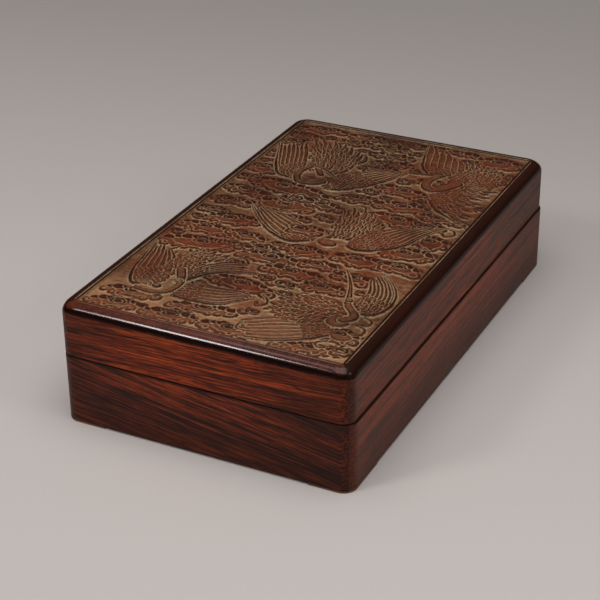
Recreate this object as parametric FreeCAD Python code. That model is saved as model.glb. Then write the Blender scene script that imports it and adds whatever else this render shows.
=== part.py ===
import FreeCAD, Part
import math
import os

# A hardwood box for an ink stone and ink sticks, with a lift-off carved lid. Millimetres.
# X runs across the width, Y along the length with the front at -Y, and Z is up.
# The origin is at the middle of the footprint, on the surface that the box stands on.

# Outside of the box
box_width = 175.0
box_length = 296.0
box_height = 73.2
rim_height = 41.2
wall = 9.0
corner_radius = 8.0
rim_edge_round = 0.4
foot_edge_round = 0.5

# Low feet, left where the walls' lower edges are cut away
foot_height = 1.5
foot_leg_front = 25.0
foot_leg_side = 33.0

# Secret comb joints behind the mitres: lap is what covers the comb on the outside
base_lap = 3.4
lid_lap = 2.9
base_fingers = 5
lid_fingers = 3
comb_cover = 4.0

# Bottom panel, held in a groove round the walls
panel_drop = 2.0
panel_thickness = 5.0
groove_depth = 4.0
panel_side_fit = 0.3

# Lining boards, which stand above the rim and locate the lid
lining_thickness = 3.0
lip_height = 4.5
lip_round = 1.0
lip_clearance = 0.8

# Lid: a little smaller than the base, and pushed over to the left in its clearance
lid_reveal = 0.45
lid_shift = -0.45
lid_edge_round = 1.2

# Top board, planted on the lid's frame, with a tongue that drops inside it
top_edge_thickness = 5.8
top_round = 5.5
tongue_depth = 4.0
tongue_fit = 0.15
border_land = 6.0
border_bead_width = 1.4
border_groove_width = 0.9
border_groove_depth = 0.7

# Carving of the field inside the bead: the ground is cut down round cranes and clouds,
# whose tops lie just under the border. Places in the drawing are counted in small squares,
# from the middle of a grid that covers the field.
ground_depth = 1.4
figure_drop = 0.3
drawing_half_columns = 78.75
drawing_half_rows = 139.25
cloud_lobes = 3

# Clouds: the middle, width and height of each
clouds = (
    (-62, 133, 34, 13), (-31, 133, 27, 12), (-4, 134, 25, 10), (31, 135, 36, 8),
    (63, 129, 30, 17), (-67, 122, 20, 10), (-31, 122, 25, 8), (-9, 125, 21, 8),
    (-3, 115, 33, 11), (3, 104, 29, 11), (-3, 91, 26, 13), (74, 108, 8, 15),
    (23, 64, 34, 14), (47, 66, 16, 9), (-67, 61, 21, 13), (-67, 46, 20, 11),
    (-41, 37, 58, 18), (-63, 23, 29, 13), (-33, 15, 40, 17), (-62, 5, 29, 12),
    (0, 45, 22, 11), (25, 42, 44, 15), (54, 35, 34, 9), (37, 23, 40, 12),
    (57, 24, 16, 9), (67, 6, 21, 18), (-68, -12, 18, 10), (-49, -16, 34, 15),
    (-58, -33, 37, 14), (-36, -29, 25, 9), (-20, -39, 22, 11), (4, -34, 29, 15),
    (60, -15, 33, 15), (40, -32, 34, 15), (63, -31, 27, 12), (-54, -50, 44, 16),
    (-10, -49, 38, 14), (11, -61, 38, 14), (18, -45, 22, 10), (33, -70, 30, 11),
    (-8, -86, 42, 16), (-59, -118, 34, 12), (-14, -117, 38, 11), (24, -119, 20, 10),
    (66, -115, 21, 15), (-58, -131, 34, 12), (-27, -131, 34, 12), (7, -131, 36, 12),
    (57, -131, 38, 12), (46, -54, 28, 12),
)

# Wings: the front edge and the back edge of each, from the shoulder to the tip
wings = (
    (((-49, 54), (-57, 56), (-64, 66), (-70, 80), (-76, 102)),
     ((-46, 64), (-48, 76), (-53, 90), (-60, 106))),
    (((-16, 48), (-9, 51), (1, 60), (8, 71), (14, 83), (17, 91)),
     ((-27, 56), (-24, 66), (-17, 75), (-6, 82), (6, 88))),
    (((27, 96), (21, 103), (16, 117), (12, 136)),
     ((48, 98), (46, 108), (42, 121))),
    (((2, -21), (-6, -26), (-15, -25), (-28, -17), (-40, -5), (-51, 9)),
     ((2, -6), (-8, -3), (-22, 2), (-38, 8))),
    (((26, -19), (31, -21), (39, -19), (49, -12), (56, -2), (60, 11), (69, 29)),
     ((26, -8), (30, 4), (38, 12), (50, 19))),
    (((-55, -105), (-64, -109), (-71, -96), (-74, -80), (-76, -57)),
     ((-48, -96), (-50, -84), (-56, -74), (-62, -66))),
    (((-38, -95), (-30, -83), (-20, -76), (-5, -72)),
     ((-42, -86), (-36, -74), (-29, -66), (-20, -60))),
    (((-34, -113), (-20, -114), (-7, -111), (5, -98)),
     ((-36, -98), (-22, -94), (-10, -93), (2, -93))),
    (((60, -117), (52, -124), (42, -131), (30, -136), (19, -137)),
     ((52, -104), (38, -105), (26, -109), (11, -119))),
    (((64, -88), (72, -87), (76, -76), (75, -62), (68, -50), (58, -40)),
     ((56, -78), (59, -68), (58, -60), (54, -50))),
)

# Tail fans: the root line and the line of the feathers' tips
tails = (
    (((-47, 78), (-36, 80), (-22, 74)), ((-62, 116), (-40, 116), (-15, 104))),
    (((50, 100), (60, 106), (68, 100)), ((47, 118), (62, 122), (76, 112))),
    (((54, 90), (51, 78), (49, 66), (47, 56)), ((76, 88), (75, 76), (74, 60), (76, 37))),
    (((8, -6), (18, -2), (28, -6)), ((2, 26), (16, 30), (36, 12))),
    (((-52, -72), (-46, -66), (-38, -70)), ((-56, -60), (-40, -56), (-24, -58))),
    (((30, -98), (30, -90), (36, -82)), ((16, -106), (20, -92), (27, -79))),
)

# Bodies and breasts: the middle, half length, half width and heading in degrees of each
bodies = (
    (58, 96, 16, 14, 130), (50, 73, 17, 8, 90), (13, -19, 6, 5, 0),
    (-47, -78, 13, 10, 70), (38, -94, 20, 16, 20), (58, -101, 7, 5, 0),
)

# Necks: the middle line and the width of each
necks = (
    (((-32, 66), (-40, 76), (-45, 70), (-45, 59), (-39, 51), (-30, 52)), 4.6),
    (((50, 88), (45, 78), (38, 74), (33, 80), (34, 90), (39, 98)), 6.0),
    (((-46, -84), (-42, -91), (-39, -100), (-41, -110), (-50, -113)), 5.0),
    (((60, -98), (63.5, -94), (62, -89), (57, -84), (54, -80)), 4.6),
)

# Bills: where each leaves its head, its tip, and its width at the head
bills = (
    ((-43, 77.5), (-20, 64), 3.2), ((40, 99.5), (17.5, 91.5), 3.2),
    ((-53, -110), (-62, -107), 3.2), ((53.5, -77), (37.7, -45), 3.2),
)

# Ink tray at the back of the box, lifted out by its ribs
tray_length = 72.0
tray_height = 17.0
tray_wall = 3.0
tray_bottom_thickness = 2.5
tray_fit = 0.5
tray_seat_height = 11.5
ledge_width = 5.0
ledge_height = 4.0
ribs = ("front", "back")
rib_width = 4.0
rib_height = 8.0

# Divider, housed in the side linings
divider_thickness = 5.0
divider_drop = 4.0
housing_depth = 1.2

# Bed of the ink stone, with finger bays at both sides of its hollow
bed_thickness = 6.0
bed_fit = 0.5
bed_border = 10.0
bed_hollow_depth = 3.0
bed_hollow_radius = 18.0
finger_bay_radius = 14.0
finger_bay_reach = 5.0

# Past-the-face length of cutting tools
over = 1.0

# Places worked out from the sizes above
half_width = box_width / 2
half_length = box_length / 2
panel_bottom = foot_height + panel_drop
floor_top = panel_bottom + panel_thickness
lining_half_width = half_width - wall
lining_half_length = half_length - wall
room_half_width = lining_half_width - lining_thickness
room_half_length = lining_half_length - lining_thickness
lid_half_width = half_width - lid_reveal
lid_half_length = half_length - lid_reveal
lid_wall = lid_half_width - lining_half_width - lip_clearance
lid_corner_radius = corner_radius - lid_reveal
field_inset = border_land + border_groove_width + border_bead_width
field_half_width = lid_half_width - field_inset
field_half_length = lid_half_length - field_inset
frame_top = box_height - top_edge_thickness
lip_top = rim_height + lip_height
divider_top = rim_height - divider_drop
tray_seat = floor_top + tray_seat_height
tray_back = room_half_length - tray_fit
tray_front = tray_back - tray_length
divider_back = tray_front - tray_fit
divider_front = divider_back - divider_thickness
tray_half_width = room_half_width - tray_fit
tray_floor = tray_seat + tray_bottom_thickness


def block(x0, x1, y0, y1, z0, z1):
    corner = FreeCAD.Vector(x0, y0, z0)
    return Part.makeBox(x1 - x0, y1 - y0, z1 - z0, corner)


def centred_block(half_x, half_y, z0, z1):
    return block(-half_x, half_x, -half_y, half_y, z0, z1)


def prism(points, z0, z1):
    corners = [FreeCAD.Vector(x, y, z0) for x, y in points]
    outline = Part.makePolygon(corners + corners[:1])
    return Part.Face(outline).extrude(FreeCAD.Vector(0, 0, z1 - z0))


def is_upright(edge):
    ends = [v.Point for v in edge.Vertexes]
    return len(ends) == 2 and abs(ends[0].z - ends[1].z) > 1e-6


def edges_at_height(shape, z):
    return [edge for edge in shape.Edges if all(abs(v.Z - z) < 1e-4 for v in edge.Vertexes)]


def rounded_block(half_x, half_y, z0, z1, radius):
    body = centred_block(half_x, half_y, z0, z1)
    return body.makeFillet(radius, [edge for edge in body.Edges if is_upright(edge)])


# The four boards of a mitred frame are cut out of one ring by these regions.
# depth is how far a mitre runs in from the outside corner.
def mitre_regions(half_x, half_y, depth, z0, z1):
    x, y = half_x, half_y
    xi, yi = half_x - depth, half_y - depth
    return {
        "front": prism([(-x, -y), (x, -y), (xi, -yi), (-xi, -yi)], z0, z1),
        "back": prism([(-x, y), (x, y), (xi, yi), (-xi, yi)], z0, z1),
        "left": prism([(-x, -y), (-x, y), (-xi, yi), (-xi, -yi)], z0, z1),
        "right": prism([(x, -y), (x, y), (xi, yi), (xi, -yi)], z0, z1),
    }


# Comb fingers at all four corners, for the zones of the joint whose number is odd or even.
def comb_fingers(half_x, half_y, thickness, lap, z0, z1, zones, parity):
    step = (z1 - z0) / zones
    reach = thickness - lap
    fingers = []
    for zone in range(parity, zones, 2):
        for side in (-1, 1):
            for end in (-1, 1):
                x = side * (half_x - lap)
                y = end * (half_y - lap)
                x_span = sorted((x, x - side * reach))
                y_span = sorted((y, y - end * reach))
                fingers.append(block(*x_span, *y_span, z0 + zone * step, z0 + (zone + 1) * step))
    return Part.makeCompound(fingers)


def mitred_boards(ring, half_x, half_y, thickness, z0, z1):
    regions = mitre_regions(half_x + over, half_y + over, thickness + 2 * over, z0 - over, z1 + over)
    return {side: ring.common(region) for side, region in regions.items()}


def comb_jointed_boards(ring, half_x, half_y, thickness, lap, zones, z0, z1):
    joint = (half_x, half_y, thickness, lap, z0 + comb_cover, z1 - comb_cover, zones)
    end_fingers = comb_fingers(*joint, 0)
    side_fingers = comb_fingers(*joint, 1)
    boards = mitred_boards(ring, half_x, half_y, thickness, z0, z1)
    for side, board in boards.items():
        kept, given = end_fingers, side_fingers
        if side in ("left", "right"):
            kept, given = side_fingers, end_fingers
        extent = board.BoundBox
        near = block(extent.XMin, extent.XMax, extent.YMin, extent.YMax, z0 - over, z1 + over)
        added = ring.common(kept).common(near)
        boards[side] = board.cut(given).fuse(added).removeSplitter()
    return boards


def base_ring():
    ring = rounded_block(half_width, half_length, 0, rim_height, corner_radius)
    ring = ring.makeFillet(rim_edge_round, edges_at_height(ring, rim_height))
    ring = ring.makeFillet(foot_edge_round, edges_at_height(ring, 0))
    ring = ring.cut(centred_block(lining_half_width, lining_half_length, -over, rim_height + over))
    gap_x = half_width - foot_leg_front
    gap_y = half_length - foot_leg_side
    ring = ring.cut(centred_block(gap_x, half_length + over, -over, foot_height))
    ring = ring.cut(centred_block(half_width + over, gap_y, -over, foot_height))
    groove_x = lining_half_width + groove_depth
    groove_y = lining_half_length + groove_depth
    return ring.cut(centred_block(groove_x, groove_y, panel_bottom, floor_top))


def bottom_panel():
    half_x = lining_half_width + groove_depth - panel_side_fit
    half_y = lining_half_length + groove_depth - panel_side_fit
    return centred_block(half_x, half_y, panel_bottom, floor_top)


def lining_ring():
    ring = centred_block(lining_half_width, lining_half_length, floor_top, lip_top)
    ring = ring.makeFillet(lip_round, edges_at_height(ring, lip_top))
    ring = ring.cut(centred_block(room_half_width, room_half_length, floor_top - over, lip_top + over))
    housing_x = room_half_width + housing_depth
    return ring.cut(block(-housing_x, housing_x, divider_front, divider_back, floor_top, divider_top))


def divider():
    half_x = room_half_width + housing_depth
    return block(-half_x, half_x, divider_front, divider_back, floor_top, divider_top)


def tray_ledges():
    inner = room_half_width - ledge_width
    z0 = tray_seat - ledge_height
    return {
        "left": block(-room_half_width, -inner, divider_back, room_half_length, z0, tray_seat),
        "right": block(inner, room_half_width, divider_back, room_half_length, z0, tray_seat),
    }


def stone_bed():
    half_x = room_half_width - bed_fit
    y0 = -room_half_length + bed_fit
    y1 = divider_front - bed_fit
    middle_y = (y0 + y1) / 2
    hollow_half_x = half_x - bed_border
    hollow_half_y = (y1 - y0) / 2 - bed_border
    bed_top = floor_top + bed_thickness
    hollow_floor = bed_top - bed_hollow_depth
    hollow = rounded_block(hollow_half_x, hollow_half_y, hollow_floor, bed_top + over, bed_hollow_radius)
    for side in (-1, 1):
        bay_x = side * (hollow_half_x + finger_bay_reach - finger_bay_radius)
        bay_foot = FreeCAD.Vector(bay_x, 0, hollow_floor)
        bay = Part.makeCylinder(finger_bay_radius, bed_hollow_depth + over, bay_foot)
        hollow = hollow.fuse(bay)
    hollow.translate(FreeCAD.Vector(0, middle_y, 0))
    return block(-half_x, half_x, y0, y1, floor_top, bed_top).cut(hollow.removeSplitter())


def ink_tray():
    middle_y = (tray_front + tray_back) / 2
    half_y = tray_length / 2
    top = tray_seat + tray_height
    room_x = tray_half_width - tray_wall
    room_y = half_y - tray_wall
    ring = centred_block(tray_half_width, half_y, tray_floor, top)
    ring = ring.cut(centred_block(room_x, room_y, tray_floor - over, top + over))
    pieces = {"bottom": centred_block(tray_half_width, half_y, tray_seat, tray_floor)}
    pieces.update(mitred_boards(ring, tray_half_width, half_y, tray_wall, tray_floor, top))
    channel = (2 * room_y - len(ribs) * rib_width) / (len(ribs) + 1)
    for number, rib in enumerate(ribs):
        y0 = -room_y + channel + number * (channel + rib_width)
        rib_top = tray_floor + rib_height
        pieces["rib_" + rib] = block(-room_x, room_x, y0, y0 + rib_width, tray_floor, rib_top)
    for piece in pieces.values():
        piece.translate(FreeCAD.Vector(0, middle_y, 0))
    return pieces


def lid_ring():
    ring = rounded_block(lid_half_width, lid_half_length, rim_height, frame_top, lid_corner_radius)
    ring = ring.makeFillet(lid_edge_round, edges_at_height(ring, rim_height))
    inner_x = lid_half_width - lid_wall
    inner_y = lid_half_length - lid_wall
    return ring.cut(centred_block(inner_x, inner_y, rim_height - over, frame_top + over))


def border_groove(inset, depth):
    foot = box_height - depth
    inside = inset + border_groove_width
    outer = centred_block(lid_half_width - inset, lid_half_length - inset, foot, box_height + over)
    inner = centred_block(lid_half_width - inside, lid_half_length - inside, foot - over, box_height + over)
    return outer.cut(inner)


# A place in the drawing of the carving, as a point at the foot of the figures.
def drawn(x, y):
    across = x * field_half_width / drawing_half_columns
    along = y * field_half_length / drawing_half_rows
    return FreeCAD.Vector(across, along, box_height - ground_depth - over)


def smooth_line(points):
    line = Part.BSplineCurve()
    line.interpolate([drawn(*point) for point in points])
    return line.toShape()


def straight_line(start, end):
    return Part.makeLine(drawn(*start), drawn(*end))


def arc(start, middle, end):
    return Part.Arc(drawn(*start), drawn(*middle), drawn(*end)).toShape()


def figure(edges):
    outline = Part.Wire(Part.__sortEdges__(edges))
    return Part.Face(outline).extrude(FreeCAD.Vector(0, 0, ground_depth + 3 * over))


def cloud_figure(x, y, width, height):
    ends = [(x - width / 2, y), (x + width / 2, y)]
    lobes = []
    for lobe in range(cloud_lobes + 1):
        angle = math.pi * lobe / cloud_lobes
        lobes.append((x - width / 2 * math.cos(angle), y - 0.36 * height * math.sin(angle)))
    edges = [arc(ends[1], (x, y + height / 2), ends[0])]
    for lobe in range(cloud_lobes):
        angle = math.pi * (lobe + 0.5) / cloud_lobes
        middle = (x - 0.5 * width * math.cos(angle), y - height / 2 * math.sin(angle))
        edges.append(arc(lobes[lobe], middle, lobes[lobe + 1]))
    return figure(edges)


def banded_figure(first, second):
    tips = straight_line(first[-1], second[-1])
    roots = straight_line(first[0], second[0])
    return figure([smooth_line(first), tips, smooth_line(second), roots])


def body_figure(x, y, half_length, half_width, heading):
    turn = math.radians(heading)
    along = (half_length * math.cos(turn), half_length * math.sin(turn))
    aside = (-half_width * math.sin(turn), half_width * math.cos(turn))
    corners = [(x + along[0], y + along[1]), (x + aside[0], y + aside[1]),
               (x - along[0], y - along[1]), (x - aside[0], y - aside[1])]
    line = Part.BSplineCurve()
    line.interpolate([drawn(*corner) for corner in corners], PeriodicFlag=True)
    return figure([line.toShape()])


def neck_figure(points, width):
    sides = ([], [])
    for number, (x, y) in enumerate(points):
        before = points[max(number - 1, 0)]
        after = points[min(number + 1, len(points) - 1)]
        run = math.dist(before, after)
        out_x = width / 2 * (before[1] - after[1]) / run
        out_y = width / 2 * (after[0] - before[0]) / run
        sides[0].append((x + out_x, y + out_y))
        sides[1].append((x - out_x, y - out_y))
    return banded_figure(*sides)


def bill_figure(root, tip, width):
    run = math.dist(root, tip)
    out_x = width / 2 * (root[1] - tip[1]) / run
    out_y = width / 2 * (tip[0] - root[0]) / run
    left = (root[0] + out_x, root[1] + out_y)
    right = (root[0] - out_x, root[1] - out_y)
    return figure([straight_line(left, tip), straight_line(tip, right), straight_line(right, left)])


def carved_figures():
    figures = [cloud_figure(*cloud) for cloud in clouds]
    figures += [banded_figure(*wing) for wing in wings]
    figures += [banded_figure(*tail) for tail in tails]
    figures += [body_figure(*body) for body in bodies]
    figures += [neck_figure(*neck) for neck in necks]
    figures += [bill_figure(*bill) for bill in bills]
    return figures[0].multiFuse(figures[1:])


def top_board():
    board = rounded_block(lid_half_width, lid_half_length, frame_top, box_height, lid_corner_radius)
    board = board.makeFillet(top_round, edges_at_height(board, box_height))
    tongue_x = lid_half_width - lid_wall - tongue_fit
    tongue_y = lid_half_length - lid_wall - tongue_fit
    board = board.fuse(centred_block(tongue_x, tongue_y, frame_top - tongue_depth, frame_top + over))
    board = board.cut(border_groove(border_land, border_groove_depth))
    field = (field_half_width, field_half_length)
    ground = centred_block(*field, box_height - ground_depth, box_height + over)
    board = board.cut(ground.cut(carved_figures()))
    board = board.cut(centred_block(*field, box_height - figure_drop, box_height + over))
    return board.removeSplitter()


def write(name, shape):
    print("%-20s %d solid, %9.1f mm3" % (name, len(shape.Solids), shape.Volume))
    shape.exportStep("parts/%s.step" % name)


def in_lid(shape):
    moved = shape.copy()
    moved.translate(FreeCAD.Vector(lid_shift, 0, 0))
    return moved


os.makedirs("parts", exist_ok=True)

base_frame = (half_width, half_length, wall, base_lap, base_fingers, 0, rim_height)
for side, board in comb_jointed_boards(base_ring(), *base_frame).items():
    write("base_%s_board" % side, board)
write("base_bottom_panel", bottom_panel())

lining_frame = (lining_half_width, lining_half_length, lining_thickness, floor_top, lip_top)
for side, board in mitred_boards(lining_ring(), *lining_frame).items():
    write("lining_%s" % side, board)

write("stone_bed", stone_bed())
write("well_divider", divider())
for side, ledge in tray_ledges().items():
    write("tray_ledge_%s" % side, ledge)
for place, piece in ink_tray().items():
    write("tray_%s" % place, piece)

lid_frame = (lid_half_width, lid_half_length, lid_wall, lid_lap, lid_fingers, rim_height, frame_top)
for side, board in comb_jointed_boards(lid_ring(), *lid_frame).items():
    write("lid_%s_board" % side, in_lid(board))
write("lid_carved_top", in_lid(top_board()))
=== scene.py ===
# %% [markdown]
# # A carved box for an ink stick and an ink stone
# This is a low rectangular box of reddish hardwood. Its lid is one deep cap
# that lifts straight off. The top of the cap is carved with cranes flying
# among clouds, inside a plain rounded border. Four short feet are left
# standing at the corners of the base. Inside there are a bed for the stone, a
# divider, and a tray for ink sticks that sits on two ledges.
# The boards, the linings and the tray come from the CAD model, at their real
# size. This script gives each of them its wood, and replaces one piece, the
# lid's top board, with a carved one.

# %% Load the frame
import math

import bpy
import numpy as np
from mathutils import Matrix, Vector


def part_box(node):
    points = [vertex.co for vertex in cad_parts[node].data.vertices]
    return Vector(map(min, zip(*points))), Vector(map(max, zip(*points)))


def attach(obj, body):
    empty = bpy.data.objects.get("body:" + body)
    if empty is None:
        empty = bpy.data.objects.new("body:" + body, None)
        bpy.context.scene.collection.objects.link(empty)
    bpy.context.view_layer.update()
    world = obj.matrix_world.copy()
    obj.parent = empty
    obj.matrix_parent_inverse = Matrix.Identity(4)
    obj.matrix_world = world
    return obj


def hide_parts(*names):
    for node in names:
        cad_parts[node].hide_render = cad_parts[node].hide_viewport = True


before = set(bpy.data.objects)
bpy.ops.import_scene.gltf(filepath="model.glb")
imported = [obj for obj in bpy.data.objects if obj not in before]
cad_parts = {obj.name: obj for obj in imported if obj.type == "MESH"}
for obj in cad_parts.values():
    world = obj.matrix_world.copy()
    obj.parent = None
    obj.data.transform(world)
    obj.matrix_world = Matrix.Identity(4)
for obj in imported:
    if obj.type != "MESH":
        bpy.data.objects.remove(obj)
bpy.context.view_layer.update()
MM = 0.001

# %% [markdown]
# ## The sizes that this script shares with the CAD model
# The frame knows where each CAD piece is. So the sizes of the lid are read
# from its pieces and not typed again. The carved top's border follows them, but
# the field's grid and its figures keep their own sizes.

# %% Read the lid's sizes
top_low, top_high = [[round(v / MM, 3) for v in corner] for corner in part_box("lid_carved_top")]
lid_middle = (top_low[0] + top_high[0]) / 2
half_x = (top_high[0] - top_low[0]) / 2
half_y = (top_high[1] - top_low[1]) / 2
land_z = top_high[2]
tongue_z = top_low[2]
seat_z = round(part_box("lid_front_board")[1][2] / MM, 3)
seam_z = round(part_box("base_front_board")[1][2] / MM, 3)
base_half_x = round(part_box("base_right_board")[1][0] / MM, 3)
base_half_y = round(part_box("base_back_board")[1][1] / MM, 3)
print("lid", 2 * half_x, "by", 2 * half_y, "mm, its land at", land_z, "and its seat at", seat_z)

# %% [markdown]
# ## The camera
# The photograph looks down on the near right corner of the box. The camera's
# angles and its distance were worked out from the corners of the box, whose
# real sizes are known. A camera could also be aimed with a Track To
# constraint, but a matrix built from three axes also holds the slight roll.

# %% Place the camera
camera_place = Vector((382.1, -793.3, 497.9)) * MM
camera_azimuth = math.radians(26.58)
camera_elevation = math.radians(28.33)
camera_roll = math.radians(-0.59)
sensor_width = 36.0
focal_length = 100.05


def camera_matrix(place, azimuth, elevation, roll):
    """A camera's matrix from its place and three angles."""
    back = Vector((
        math.sin(azimuth) * math.cos(elevation),
        -math.cos(azimuth) * math.cos(elevation),
        math.sin(elevation),
    ))
    level = (-back).cross(Vector((0, 0, 1))).normalized()
    above = level.cross(-back)
    right = level * math.cos(roll) + above * math.sin(roll)
    up = above * math.cos(roll) - level * math.sin(roll)
    matrix = Matrix((right, up, back)).transposed().to_4x4()
    matrix.translation = place
    return matrix


camera_data = bpy.data.cameras.new("camera")
camera_data.lens = focal_length
camera_data.sensor_width = sensor_width
camera_data.clip_start = 0.01
camera = bpy.data.objects.new("camera", camera_data)
camera.matrix_world = camera_matrix(camera_place, camera_azimuth, camera_elevation, camera_roll)
bpy.context.scene.collection.objects.link(camera)
bpy.context.scene.camera = camera
bpy.context.scene.view_settings.view_transform = "Standard"
print("camera at", [round(v, 3) for v in camera.location], "lens", focal_length)

# %% [markdown]
# ## Small tools for node materials
# Every finish here is a web of nodes. Making each node by hand takes four
# lines, so a short class keeps the tree and gives back the socket of each new
# node. The finishes below then read like sums.

# %% A node tree that reads like sums
class Nodes:
    """Makes the nodes of one material or world and wires them."""

    def __init__(self, owner, shader="Principled BSDF"):
        owner.use_nodes = True
        self.owner = owner
        self.tree = owner.node_tree
        self.shader = self.tree.nodes[shader]

    def put(self, socket, value):
        """Links a socket, or sets it to a plain number or colour."""
        if isinstance(value, bpy.types.NodeSocket):
            self.tree.links.new(value, socket)
        else:
            socket.default_value = value

    def finish(self, **inputs):
        """Sets inputs of the shader. An underscore stands for a space."""
        for name, value in inputs.items():
            self.put(self.shader.inputs[name.replace("_", " ")], value)

    def new(self, kind, *values, **named):
        """A new node. Plain values fill its inputs in order, and the others go by name."""
        made = self.tree.nodes.new("ShaderNode" + kind)
        for socket, value in zip(made.inputs, values):
            self.put(socket, value)
        for name, value in named.items():
            self.put(made.inputs[name], value)
        return made

    def place(self, kind="Object"):
        """The object's own coordinates, which are metres in the frame."""
        return self.new("TexCoord").outputs[kind]

    def parts(self, vector):
        return self.new("SeparateXYZ", vector).outputs

    def stretch(self, vector, scale=(1, 1, 1), turn=(0, 0, 0), shift=(0, 0, 0)):
        return self.new("Mapping", Vector=vector, Scale=scale, Rotation=turn, Location=shift).outputs[0]

    def noise(self, vector, scale=1.0, detail=3.0, rough=0.55):
        made = self.new("TexNoise", Vector=vector, Scale=scale, Detail=detail, Roughness=rough)
        return made.outputs["Fac"]

    def math(self, operation, *values):
        made = self.new("Math", *values)
        made.operation = operation
        return made.outputs[0]

    def times(self, a, b, add=0.0):
        """A product, with something added to it if need be."""
        return self.math("MULTIPLY_ADD", a, b, add)

    def plus(self, a, b):
        return self.math("ADD", a, b)

    def minus(self, a, b):
        return self.math("SUBTRACT", a, b)

    def size(self, value):
        """A value without its sign."""
        return self.math("ABSOLUTE", value)

    def most(self, first, *others):
        """The largest of several values."""
        for other in others:
            first = self.math("MAXIMUM", first, other)
        return first

    def span(self, value, low, high, out_low=0.0, out_high=1.0):
        """Moves a value from one range to another, with smooth ends."""
        made = self.new("MapRange", value, low, high, out_low, out_high)
        made.interpolation_type = "SMOOTHSTEP"
        return made.outputs[0]

    def ramp(self, value, places, tones):
        """Colours along a value: an sRGB tone at each place."""
        made = self.new("ValToRGB", value)
        elements = made.color_ramp.elements
        while len(elements) < len(places):
            elements.new(0.5)
        for element, place, tone in zip(elements, places, tones):
            element.position = place
            element.color = linear(tone)
        return made.outputs[0]

    def mix(self, share, first, second):
        made = self.new("Mix")
        made.data_type = "RGBA"
        for number, value in ((0, share), (6, first), (7, second)):
            self.put(made.inputs[number], value)
        return made.outputs[2]

    def tint(self, colour, share, tone):
        """Lays an sRGB tone over a colour."""
        return self.mix(share, colour, linear(tone))

    def attribute(self, name):
        made = self.new("Attribute")
        made.attribute_name = name
        return made.outputs["Fac"]

    def bump(self, height, strength, distance):
        return self.new("Bump", Height=height, Strength=strength, Distance=distance).outputs[0]


def linear(colour):
    """An sRGB colour from 0 to 255 as the linear colour that Blender holds."""
    shares = [c / 255 for c in colour]
    return tuple(s / 12.92 if s < 0.04045 else ((s + 0.055) / 1.055) ** 2.4 for s in shares) + (1.0,)


print("a tone of 128 holds", round(linear((128, 128, 128))[0], 3), "of white's light")

# %% [markdown]
# ## The floor and the studio light
# The photograph was taken on pale paper, under a large soft light overhead
# and two smaller ones, at the front left and at the right. The paper's colour
# is painted darker away from the camera, as painted shade where the light
# falls off. A sweep of paper could be bent up behind the box. A flat floor is
# enough here, because the camera looks down on it. The room is dark low down,
# so that polished wood reflects little at the far side.

# %% The floor
floor_size = 12.0
floor_near = (198, 190, 186)
floor_far_painted_shade = (168, 161, 156)

bpy.ops.mesh.primitive_plane_add(size=floor_size)
floor = bpy.context.object
floor.name = "floor"
paper = Nodes(bpy.data.materials.new("paper"))
paper_place = paper.place()
# Painted shade: the paper's colour darkens from its near tone to its far tone away from the camera.
in_view = paper.parts(paper.stretch(paper_place, turn=(0, 0, camera_azimuth)))
away = paper.times(in_view["X"], -0.4, in_view["Y"])
paper_colour = paper.mix(paper.span(away, -0.3, 0.7), linear(floor_near), linear(floor_far_painted_shade))
grain = paper.noise(paper_place, scale=900.0)
paper_colour = paper.tint(paper_colour, paper.span(grain, 0.3, 0.7, 0.0, 0.05), (140, 132, 128))
paper.finish(Base_Color=paper_colour, Roughness=0.85, Normal=paper.bump(grain, 0.15, 0.0002))
floor.data.materials.append(paper.owner)
print("floor", floor_size, "m across")


# %% The lamps
def softbox(name, place, aim, side, watts):
    """A square area lamp at a place in metres, turned towards a point."""
    lamp = bpy.data.lights.new(name, "AREA")
    lamp.size = side
    lamp.energy = watts
    made = bpy.data.objects.new(name, lamp)
    made.location = place
    made.rotation_euler = (Vector(place) - Vector(aim)).to_track_quat("Z", "Y").to_euler()
    bpy.context.scene.collection.objects.link(made)


box_middle = (0.0, 0.0, 0.04)
softbox("overhead_light", (0.15, -0.35, 1.55), box_middle, 1.5, 15.6)
softbox("left_light", (-1.124, -1.612, 1.618), (-0.02, -0.148, 0.07), 0.5, 13.0)
softbox("right_light", (0.80, -0.147, 0.66), box_middle, 0.22, 1.25)

world = bpy.data.worlds.new("world")
bpy.context.scene.world = world
sky = Nodes(world, "Background")
upward = sky.parts(sky.place("Generated"))["Z"]
room = ((34, 33, 32), (48, 47, 46), (150, 148, 146), (222, 219, 217))
sky.finish(Color=sky.ramp(upward, (0.0, 0.35, 0.7, 1.0), room), Strength=0.7)
print("three softboxes and a grey world")

# %% [markdown]
# ## The wood
# Old rosewood is streaked: thin dark and orange lines run the length of each
# board, in broad bands that come and go, with short open pores between them.
# Handling has left the faces with a dull polish. Where the boards meet there is
# dirt, and painted shade too, both laid on further down. The streaks and pores
# are each one layer of noise, stretched along the grain. A picture of wood would
# be quicker, but it would not turn with each board, and noise is sharp at any
# distance.

# %% One layered wood
grain_length = 0.018
grain_width = 0.00062
wave_height = 0.005
streak_layers = ((1, 1, 3.0, 0), (4, 2.8, 3.0, 5), (9, 9, 3.0, 9), (0.3, 0.45, 2.0, 0), (4.5, 5.5, 2.0, 13))
streak_places = (0.34, 0.45, 0.54, 0.68)
pore_tone = (34, 18, 14)
dull_shine = 0.15


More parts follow.
